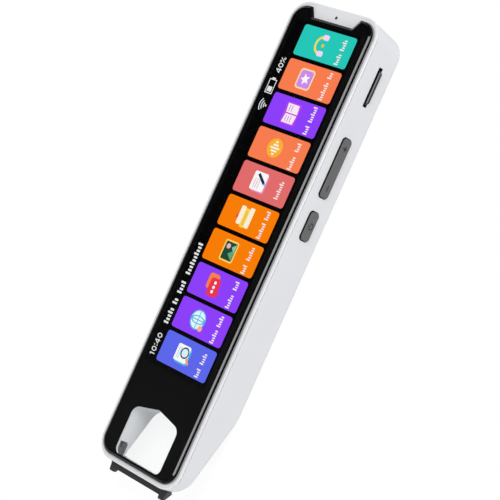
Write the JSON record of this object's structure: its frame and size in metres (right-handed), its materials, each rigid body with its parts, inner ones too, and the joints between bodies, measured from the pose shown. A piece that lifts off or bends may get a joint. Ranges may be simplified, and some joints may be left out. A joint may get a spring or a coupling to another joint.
{
  "type": "handheld translator pen",
  "caption": "Flat bar-shaped scanning translator with a long touch screen, a see-through tip window, side keys, a card slot, and a speaker and camera in its back.",
  "frame": {"origin": "middle of the flat back's level face; the pen lies on its back with its screen up", "axes": "+Z out of the screen, +Y along the pen towards its top end, so the scanning tip is at -Y, +X across it towards the side with the keys and the memory card"},
  "size_m": [0.0363, 0.1532, 0.0156],
  "materials": {
    "shell": "satin moulded, pale grey-white",
    "bezel": "gloss moulded, pale grey-white",
    "cover_glass": "polished, clear",
    "black_ink": "printed, black",
    "optical_adhesive": "clear, cured",
    "black_tape": "foam tape, black",
    "display_cell": "dark, polished",
    "backlight_sheet": "milky film",
    "tray_steel": "pressed",
    "flex_film": "orange-brown film",
    "frame_plastic": "textured, dark grey",
    "screw_steel": "plated",
    "circuit_board": "solder mask, dark green",
    "chip": "moulded, black",
    "can_metal": "tinned",
    "connector_plastic": "moulded, black",
    "battery_foil": "laminated foil",
    "battery_tape": "double-sided tape, pale",
    "lead_rubber": "insulated lead, red",
    "speaker_body": "moulded, black",
    "speaker_mesh": "woven, black",
    "gasket_foam": "soft foam, black",
    "mic_can": "plated",
    "boot_rubber": "moulded, dark",
    "camera_ring": "gloss moulded, pale grey-white",
    "camera_face": "gloss, black",
    "camera_barrel": "stepped, black",
    "camera_lens": "coated, bluish",
    "camera_body": "moulded, black",
    "socket_steel": "plated",
    "card_plastic": "moulded, black",
    "switch_metal": "plated",
    "key_plastic": "satin moulded, mid grey",
    "pin_steel": "ground",
    "antenna_copper": "copper foil on film",
    "scan_window": "polished, clear",
    "scan_lens": "coated",
    "led_white": "moulded, pale yellow",
    "tip_plastic": "satin moulded, dark grey",
    "reflector_plastic": "pale grey",
    "spring_steel": "wire"
  },
  "bodies": {
    "pen": {"rear_shell": "shell", "front_bezel": "bezel", "cover_glass": "cover_glass", "black_mask": "black_ink", "optical_adhesive": "optical_adhesive", "glass_tape": "black_tape", "display_panel": "display_cell", "backlight": "backlight_sheet", "display_tray": "tray_steel", "display_flex": "flex_film", "mid_frame": "frame_plastic", "frame_screws": "screw_steel", "main_board": "circuit_board", "processor": "chip", "memory_chips": "chip", "power_chips": "chip", "shield_can": "can_metal", "display_connector": "connector_plastic", "battery": "battery_foil", "battery_tape": "battery_tape", "battery_lead": "lead_rubber", "speaker": "speaker_body", "speaker_mesh": "speaker_mesh", "speaker_gasket": "gasket_foam", "microphone": "mic_can", "microphone_boot": "boot_rubber", "camera_ring": "camera_ring", "camera_face": "camera_face", "camera_barrel": "camera_barrel", "camera_lens": "camera_lens", "camera_module": "camera_body", "usb_socket": "socket_steel", "card_socket": "socket_steel", "side_key_board": "circuit_board", "volume_switches": "switch_metal", "power_switch": "switch_metal", "rocker_pin": "pin_steel", "wifi_antenna": "antenna_copper", "scan_window": "scan_window", "scan_camera": "camera_body", "scan_lens": "scan_lens", "scan_leds": "led_white", "scan_board": "circuit_board", "tip_springs": "spring_steel", "tip_switch": "switch_metal"},
    "volume_key": {"volume_key": "key_plastic"},
    "power_key": {"power_key": "key_plastic"},
    "scan_tip": {"scan_tip": "tip_plastic", "tip_reflector": "reflector_plastic"},
    "memory_card": {"memory_card": "card_plastic"}
  },
  "joints": [
    {"name": "volume_rock", "type": "hinge", "parent": "pen", "child": "volume_key", "pos_m": [0.01485, 0.03077, 0.00765], "axis": [0, 0, 1], "range_deg": [-1.8, 1.8], "stiffness_Nm_per_rad": 0.3},
    {"name": "power_press", "type": "slide", "parent": "pen", "child": "power_key", "axis": [-1, 0, 0], "range_m": [0, 0.00035], "stiffness_N_per_m": 3000, "springref_m": -0.0002},
    {"name": "tip_press", "type": "slide", "parent": "pen", "child": "scan_tip", "axis": [0, 1, 0], "range_m": [0, 0.0004], "stiffness_N_per_m": 2500, "springref_m": -0.0004, "deforming": ["tip_springs"]},
    {"name": "card_slide", "type": "slide", "parent": "pen", "child": "memory_card", "axis": [1, 0, 0], "range_m": [0, 0.012]}
  ]
}
